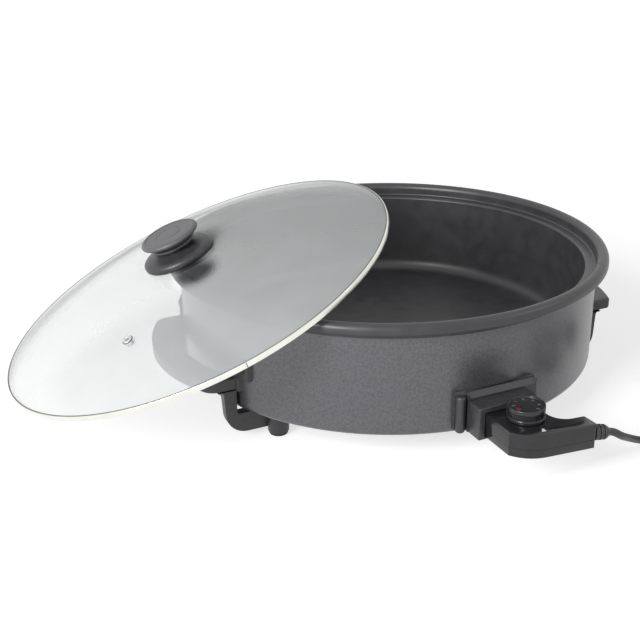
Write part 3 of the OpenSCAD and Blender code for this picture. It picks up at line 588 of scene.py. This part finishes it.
def pads():
    """The two rubber pads under a bracket's pegs."""
    return added(*[placed(turned([(0, 0, 0), (8.1, 0, 0.8), (9.2, 3.1, 0), (0, 3.1, 0)], 40, closed=False),
                          shift(PEG_X, side * PEG_Y)) for side in (-1, 1)])


def ear_screws():
    """The two screws in a bracket's ears."""
    return added(*[placed(screw_head(), spun(90, "Y"), shift(EAR_OUT - 0.1, 0, SCREW_HIGH),
                          spun(side * SCREW_WAY)) for side in (-1, 1)])


pad_rubber = grain(finish_of("pad_rubber", (0.02, 0.02, 0.02), 0.8), 500,
                   ((0.016, 0.016, 0.016), (0.03, 0.03, 0.03)), (0.7, 0.9), 0.3, 0.0002)
black_steel = grain(finish_of("black_steel", (0.05, 0.05, 0.052), 0.38, 0.8), 500,
                    ((0.03, 0.03, 0.032), (0.07, 0.07, 0.073)), (0.3, 0.46), 0.1, 0.0001)
for hand, turn, bow, corner in (("left", 180, 143, 17), ("right", 0, 178, 3)):
    bracket_piece = made(hand + "_bracket", placed(bracket(bow, corner), spun(turn)), "base", phenolic,
                         hand + "_handle")
    pads_piece = made(hand + "_pads", placed(pads(), spun(turn)), "base", pad_rubber, hand + "_foot_pads")
    fixing = made(hand + "_fixings", placed(ear_screws(), spun(turn)), "base", black_steel,
                  hand + "_handle_screws")

# ---------------------------------------------------------------------------
# The socket shroud.  A black phenolic frame screwed to the jacket, with a
# round post down each side and a collar that guides the control.
# ---------------------------------------------------------------------------
FACING = Matrix(((1, 0, 0, 0), (0, 0, -1, 0), (0, 1, 0, 0), (0, 0, 0, 1)))
SOCKET_LOW, SOCKET_HIGH = 34.0, 68.5
FLANGE_OUT, FRAME_OUT = 203.0, 205.8
COLLAR_IN, COLLAR_DEEP = 204.6, 16.9
POST_LOW, POST_HIGH, POST_OUT = 33.6, 67.1, -202.2


def chamfer_top(bm, size, depth):
    """Slopes the top of the front of a block whose front lies at depth, and rounds its edges."""
    front = [e for e in bm.edges if all(v.co.z > (depth - 0.1) * mm and v.co.y > (SOCKET_HIGH - 0.1) * mm
                                        for v in e.verts)]
    bmesh.ops.bevel(bm, geom=front, offset=size * mm, offset_type="OFFSET", segments=1, profile=0.5,
                    affect="EDGES", material=-1)
    return soften(bm, 0.7, where=lambda e: all(v.co.z > (depth - 6) * mm for v in e.verts))


flange_bm = chamfer_top(pressed([(-41, SOCKET_LOW, 1), (37, SOCKET_LOW, 1), (37, SOCKET_HIGH, 1),
                                 (-41, SOCKET_HIGH, 1)], 198.9, FLANGE_OUT), 2.5, FLANGE_OUT)
shroud_bm = placed(wrapped(flange_bm, range(-36, 37, 8)), spun(-90))
frame_bm = chamfer_top(pressed([(-32, SOCKET_LOW, 0.5), (34.5, SOCKET_LOW, 0.5), (34.5, SOCKET_HIGH, 0.5),
                                (-32, SOCKET_HIGH, 0.5)], 199, FRAME_OUT), 4, FRAME_OUT)
collar_bm = bmesh.new()
outer, inner = (-31, 24.5, 33.5, 62.5), (-25.7, 21.6, 35.2, 57.8)
rims = [[collar_bm.verts.new((x * mm, y * mm, COLLAR_IN * mm))
         for x, y in ((left, low), (far, low), (far, high), (left, high))]
        for left, far, low, high in (outer, inner)]
for i in range(4):
    collar_bm.faces.new((rims[0][i], rims[0][i - 1], rims[1][i - 1], rims[1][i]))
draw_out(collar_bm, collar_bm.faces[:], COLLAR_DEEP)
bmesh.ops.recalc_face_normals(collar_bm, faces=collar_bm.faces)
soften(collar_bm, 0.9, where=lambda e: any(v.co.z > (COLLAR_IN + COLLAR_DEEP - 0.5) * mm for v in e.verts) and
       all(v.co.x < (outer[0] + 0.1) * mm or v.co.x > (outer[1] - 0.1) * mm or v.co.y < (outer[2] + 0.5) * mm
           or v.co.y > (outer[3] - 0.5) * mm for v in e.verts), angle=60)
backing_bm = pressed([(-26, 35, 0), (26, 35, 0), (26, 58, 0), (-26, 58, 0)], 205, 209.9)
posts = [placed(turned([(0, POST_LOW, 0), (radius, POST_LOW, 2.4), (radius, POST_HIGH, 2.4),
                        (0, POST_HIGH, 0)], 32, closed=False), shift(x, POST_OUT))
         for x, radius in ((-37, 4.2), (33.5, 3))]
for part in (frame_bm, collar_bm, backing_bm):
    placed(part, FACING)
added(shroud_bm, frame_bm, collar_bm, backing_bm, *posts)
shroud = made("shroud", shroud_bm, "base", phenolic, "socket_shroud")
bright_brass = grain(finish_of("bright_brass", (0.7, 0.56, 0.3), 0.3, 1.0), 300,
                     ((0.6, 0.46, 0.23), (0.76, 0.62, 0.35)), (0.22, 0.4), 0.05, 0.0001)
coated(bright_brass, "socket_earth_clip")
coated(zinc_plate, "shroud_screws")

# ---------------------------------------------------------------------------
# The heat control's case.  Two glossy black mouldings that meet in a seam; the
# nose plugs into the collar and the arm at the right carries the cord.
# ---------------------------------------------------------------------------
gloss_black = grain(finish_of("gloss_black", (0.014, 0.014, 0.016), 0.16, Specular_IOR_Level=0.5), 120,
                    ((0.012, 0.012, 0.014), (0.018, 0.018, 0.02)), (0.1, 0.2), 0.03, 0.0001)
CASE_LOW, CASE_SEAM, CASE_HIGH, SEAM_HALF = 36.0, 43.3, 57.0, 0.15
BOW_X, BOW_Y, BOW_R = 3.3, -237.3, 32.7


def case_plan(inset):
    """Plan of the case, drawn in by inset."""
    reach = BOW_R - inset
    bow = [(BOW_X + reach * math.cos(math.radians(way)), BOW_Y + reach * math.sin(math.radians(way)), 0)
           for way in range(211, 260, 8)]
    return ([(inset - 24.8, -214.6 - inset, 1), (inset - 24.8, -253.9, 1.2)] + bow
            + [(0, inset - 269.9, 0), (44 - inset, inset - 274.6, 2), (43 - inset, -259 - inset, 1),
               (33, -257.9 - inset, 0), (18.5 - inset, -255.4 - inset, 12.5), (18.5 - inset, -238, 0),
               (20.8 - inset, -230, 0), (20.8 - inset, -214.6 - inset, 1)])


top_bm = pressed(case_plan(0), CASE_SEAM + SEAM_HALF, CASE_HIGH)
soften(top_bm, 1.8, where=lambda e: all(v.co.z > (CASE_HIGH - 0.01) * mm for v in e.verts), angle=60)
case_top = made("case_top", top_bm, "control", gloss_black, "control_top_housing")
bottom_bm = pressed(case_plan(0.15), CASE_LOW, CASE_SEAM - SEAM_HALF)
soften(bottom_bm, 1.2, where=lambda e: all(v.co.z < (CASE_LOW + 0.01) * mm for v in e.verts), angle=60)
added(bottom_bm, pressed(case_plan(0.6), CASE_SEAM - 1, CASE_SEAM + 1))
case_bottom = made("case_bottom", bottom_bm, "control", gloss_black, "control_bottom_housing")

coated(steel, "sensor_rod")
coated(zinc_plate, "housing_screws", "thermostat_frame")
coated(bright_brass, "contact_sleeves", "control_earth_strip", "bimetal_strip", "contact_blades")

# the lamp's lens lies in the top half, with the lamp below it
lens_clear = grain(finish_of("lens_clear", (0.82, 0.8, 0.77), 0.1, Coat_Weight=0.6), 300,
                   ((0.76, 0.74, 0.7), (0.86, 0.85, 0.82)), (0.06, 0.16))
lens_bm = soften(pressed([(-2, -264.6, 0.5), (1.6, -265.6, 0.8), (1.8, -261.4, 0.8), (0.6, -261, 0.5)],
                         CASE_HIGH - 3, CASE_HIGH + 0.4), 0.3)
lens = made("lens", lens_bm, "control", lens_clear, "lamp_lens")
coated(lens_clear, "pilot_lamp")

# ---------------------------------------------------------------------------
# The dial.  A black cap with a ribbed side, a skirt and a sunk top that has
# the settings round it and a red spot that marks the one in use.
# ---------------------------------------------------------------------------
DIAL_Y, DIAL_Z, DIAL_FACE, DIAL_RIBS = -240.0, 57.8, 10.1, 60
MARK_X, MARK_Y = -9.2, -2.6
FIGURES, FIRST_WAY, FIGURE_WAY, FIGURE_OUT = 6, 68, 44, 10.2
dial_black = grain(finish_of("dial_black", (0.02, 0.02, 0.022), 0.2), 300,
                   ((0.017, 0.017, 0.019), (0.026, 0.026, 0.028)), (0.16, 0.26), 0.06, 0.0001)
dial_bm = turned([(0, 0, 0), (15.6, 0, 0.4), (15.6, 2.6, 0.6), (15, 3, 0.2), (15, 7.6, 0.2), (15.6, 8, 0.3),
                  (15.4, 11.6, 0.7), (14, 11.6, 0.4), (13.6, DIAL_FACE, 0.3), (0, DIAL_FACE, 0)],
                 96, closed=False)
rib = pressed([(-0.3, -15.45, 0), (0.3, -15.45, 0), (0.44, -14.8, 0), (-0.44, -14.8, 0)], 3.1, 7.6)
bmesh.ops.spin(rib, geom=rib.verts[:] + rib.edges[:] + rib.faces[:], cent=(0, 0, 0), axis=(0, 0, 1),
               dvec=(0, 0, 0), angle=math.radians(360 - 360 / DIAL_RIBS), steps=DIAL_RIBS - 1,
               use_merge=False, use_duplicate=True)
added(dial_bm, rib)
placed(dial_bm, shift(0, DIAL_Y, DIAL_Z))
dial_cap = made("dial_cap", dial_bm, "dial", dial_black, "dial")

mark_red = grain(finish_of("mark_red", (0.2, 0.014, 0.03), 0.45), 900,
                 ((0.17, 0.012, 0.026), (0.24, 0.018, 0.034)), (0.4, 0.5))
mark_bm = placed(turned([(0, 9.9, 0), (1.9, 9.9, 0), (1.9, 10.35, 0.2), (0, 10.35, 0)], 32, closed=False),
                 shift(MARK_X, DIAL_Y + MARK_Y, DIAL_Z))
dial_spot = made("dial_spot", mark_bm, "dial", mark_red, "dial_mark")
coated(steel, "dial_shaft")

figure_grey = grain(finish_of("figure_grey", (0.3, 0.3, 0.3), 0.5), 900,
                    ((0.24, 0.24, 0.24), (0.34, 0.34, 0.34)), (0.45, 0.6))
figures_bm = bmesh.new()
for number in range(FIGURES):
    text = bpy.data.curves.new("figure", "FONT")
    text.body = str(number)
    text.size = 4.2 * mm
    text.align_x, text.align_y = "CENTER", "CENTER"
    holder = bpy.data.objects.new("figure", text)
    bpy.context.collection.objects.link(holder)
    flat = bpy.data.meshes.new_from_object(holder)
    bpy.data.objects.remove(holder)
    bpy.data.curves.remove(text)
    flat.transform(shift(0, DIAL_Y, DIAL_Z + DIAL_FACE + 0.06) @ spun(FIRST_WAY - FIGURE_WAY * number)
                   @ shift(y=FIGURE_OUT))
    figures_bm.from_mesh(flat)
    bpy.data.meshes.remove(flat)
made("dial_figures", figures_bm, "dial", figure_grey)

# ---------------------------------------------------------------------------
# The lid.  A shallow dome of tempered glass in a steel band whose ends meet in
# a joint, with a vent eyelet, and a moulded knob and guard above and a rest hook
# below.  It is parked on the pan's rim, where it hangs by the hook.
# ---------------------------------------------------------------------------
BAND_IN, BAND_OUT, BAND_LOW = 189.8, 190.5, -2.7
DOME_H, GLASS_R, GLASS_T, RIM_DROP = 33.5, 189.3, 4.0, 2
CAP_R = (GLASS_R ** 2 + (DOME_H - RIM_DROP) ** 2) / (2 * (DOME_H - RIM_DROP))
CAP_MIDDLE = Matrix.Translation((0, 0, (DOME_H - CAP_R) * mm))
PARK_OUT, PARK_SIDE, PARK_UP, PARK_WAY, PARK_TILT = 188.5, math.radians(173), 111.95, 170.3, 21.6
PARK = (shift(PARK_OUT * math.cos(PARK_SIDE), PARK_OUT * math.sin(PARK_SIDE), PARK_UP)
        @ spun(PARK_WAY) @ spun(PARK_TILT, "Y"))
CLEAR_AT, REFLECTION_FROM = Vector((-6, 46, 31)) * mm, Vector((0, 100, 0)) * mm

lid_clear = grain(finish_of("lid_clear", (0.72, 0.735, 0.74), 0.04, Specular_IOR_Level=0.6), 25,
                  ((0.7, 0.715, 0.72), (0.74, 0.755, 0.76)), (0.02, 0.06))
# the glass hides least where the hook's plate lies right behind it, and most towards the far rim, where the
# paler glass is a painted reflection
haze_and_reflection = lid_clear.node_tree
near_hook = scaled(haze_and_reflection, distance_from(haze_and_reflection, PARK @ CLEAR_AT), 0.012, 0.029, 0.03, 0.36, "SMOOTHSTEP")
far_rim_reflection = scaled(haze_and_reflection, distance_from(haze_and_reflection, PARK @ REFLECTION_FROM), 0.195, 0.27, 0, 0.5, "SMOOTHSTEP")
haze_and_reflection.links.new(combined(haze_and_reflection, "ADD", near_hook, far_rim_reflection), haze_and_reflection.nodes["Principled BSDF"].inputs["Alpha"])
dome_bm = bmesh.new()
tip = dome_bm.verts.new((0, 0, DOME_H * mm))
bmesh.ops.spin(dome_bm, geom=[tip], cent=CAP_MIDDLE.translation, axis=(0, 1, 0), dvec=(0, 0, 0),
               angle=math.asin(GLASS_R / CAP_R), steps=28, use_merge=False, use_duplicate=False)
bmesh.ops.spin(dome_bm, geom=dome_bm.verts[:] + dome_bm.edges[:], cent=(0, 0, 0), axis=(0, 0, 1),
               dvec=(0, 0, 0), angle=2 * math.pi, steps=160, use_merge=True, use_duplicate=False)
bmesh.ops.remove_doubles(dome_bm, verts=dome_bm.verts, dist=1e-6)
bmesh.ops.recalc_face_normals(dome_bm, faces=dome_bm.faces)
if sum(f.normal.z for f in dome_bm.faces) < 0:
    bmesh.ops.reverse_faces(dome_bm, faces=dome_bm.faces)
bmesh.ops.solidify(dome_bm, geom=dome_bm.faces, thickness=GLASS_T * mm)
placed(dome_bm, PARK)
lid_dome = made("lid_dome", dome_bm, "lid", lid_clear, "lid_glass")

band_steel = grain(finish_of("band_steel", (0.76, 0.76, 0.71), 0.22, 1.0), 40,
                   ((0.73, 0.73, 0.68), (0.79, 0.79, 0.74)), (0.16, 0.28), 0.02, 0.0001)
band_bm = placed(turned([(BAND_IN, BAND_LOW, 0), (BAND_OUT, BAND_LOW, 0.3), (BAND_OUT, 2.0, 0.3),
                         (BAND_IN, 2.1, 0)], 192), PARK)
lid_band = made("lid_band", band_bm, "lid", band_steel, "lid_rim_band")
# a dark ring painted as the shadow in the gap where the band's inner edge meets the glass
gap_shadow_grey = grain(finish_of("gap_shadow_grey", (0.1, 0.1, 0.1), 0.5), 600,
                 ((0.08, 0.08, 0.08), (0.12, 0.12, 0.12)), (0.45, 0.6))
gap_shadow_bm = placed(turned([(BAND_IN - 1, 1.4, 0), (BAND_IN, 1.4, 0), (BAND_IN, 2.2, 0),
                        (BAND_IN - 1, 2.2, 0)], 192), PARK)
made("band_gap_shadow", gap_shadow_bm, "lid", gap_shadow_grey)
# the joint in the band
JOINT_WAY = 94
joint_dark = grain(finish_of("joint_dark", (0.05, 0.05, 0.05), 0.6, 0.5), 600,
                   ((0.03, 0.03, 0.03), (0.07, 0.07, 0.07)), (0.5, 0.7))
joint_bm = placed(pressed([(BAND_OUT - 0.5, -0.3, 0), (BAND_OUT + 0.06, -0.3, 0), (BAND_OUT + 0.06, 0.3, 0),
                           (BAND_OUT - 0.5, 0.3, 0)], -2.5, 1.9), spun(JOINT_WAY), PARK)
made("band_joint", joint_bm, "lid", joint_dark)

# the steam vent: a steel eyelet, with a dark ring under its edge that paints the shade round it
VENT_WAY, VENT_OUT = 54.8, 116.6
VENT = (PARK @ spun(VENT_WAY) @ CAP_MIDDLE @ spun(math.degrees(math.asin(VENT_OUT / CAP_R)), "Y")
        @ shift(z=CAP_R))
vent_bm = placed(turned([(1.8, -4.9, 0), (3.9, -4.9, 0.3), (3.9, -4.1, 0.2), (3, -4.1, 0), (3, 0.3, 0),
                         (4.4, 0.3, 0.2), (4.4, 1.1, 0.4), (1.8, 1.1, 0.5)], 48), VENT)
# a thin dark ring of painted shade, a little wider than the eyelet's flange
vent_shade_ring_bm = placed(turned([(3.1, 0, 0), (4.8, 0, 0), (4.8, 0.5, 0.2), (3.1, 0.5, 0)], 48), VENT)
made("vent_shade_ring", vent_shade_ring_bm, "lid", pad_rubber)
vent_eyelet = made("vent_eyelet", vent_bm, "lid", steel, "lid_vent")

# the guard and the knob, on the middle of the lid
guard_bm = placed(turned([(0, 0.9, 0), (15, 0.9, 0), (15, 0.1, 0), (30.5, -0.5, 0.8), (32.8, -0.4, 0.8),
                          (33.5, 2, 0.8), (33.2, 4.8, 1.4), (30.2, 7, 2), (24, 8.8, 3), (18.4, 10.6, 1),
                          (17.2, 12, 0), (0, 12, 0)], 96, closed=False), shift(z=DOME_H), PARK)
knob_guard = made("knob_guard", guard_bm, "lid", phenolic, "lid_knob_guard")
knob_bm = placed(turned([(0, 12, 0), (18.6, 12, 0.4), (20.4, 12.9, 0.6), (20.4, 15, 0.8), (18.2, 16.2, 0.6),
                         (18.6, 17.2, 0.6), (25.4, 18.9, 1.2), (27.5, 20.5, 1.0), (27.5, 22.7, 1.2),
                         (25.2, 24, 0.6), (23.4, 24.2, 0.5), (22.4, 23.4, 0.4), (21.2, 23.6, 0.3),
                         (12.6, 23.6, 0.2), (12, 23.1, 0.2), (11.2, 23.1, 0.2), (10.6, 23.6, 0.2),
                         (0, 23.6, 0)], 96, closed=False),
                 shift(z=DOME_H), PARK)
knob_black = grain(finish_of("knob_black", (0.105, 0.105, 0.111), 0.45), 260,
                   ((0.096, 0.096, 0.101), (0.116, 0.116, 0.122)), (0.4, 0.5), 0.12, 0.00015)
knob = made("knob", knob_bm, "lid", knob_black, "lid_knob")
coated(pad_rubber, "lid_knob_seal")
coated(phenolic, "lid_rest_hook")
coated(zinc_plate, "lid_knob_screw")
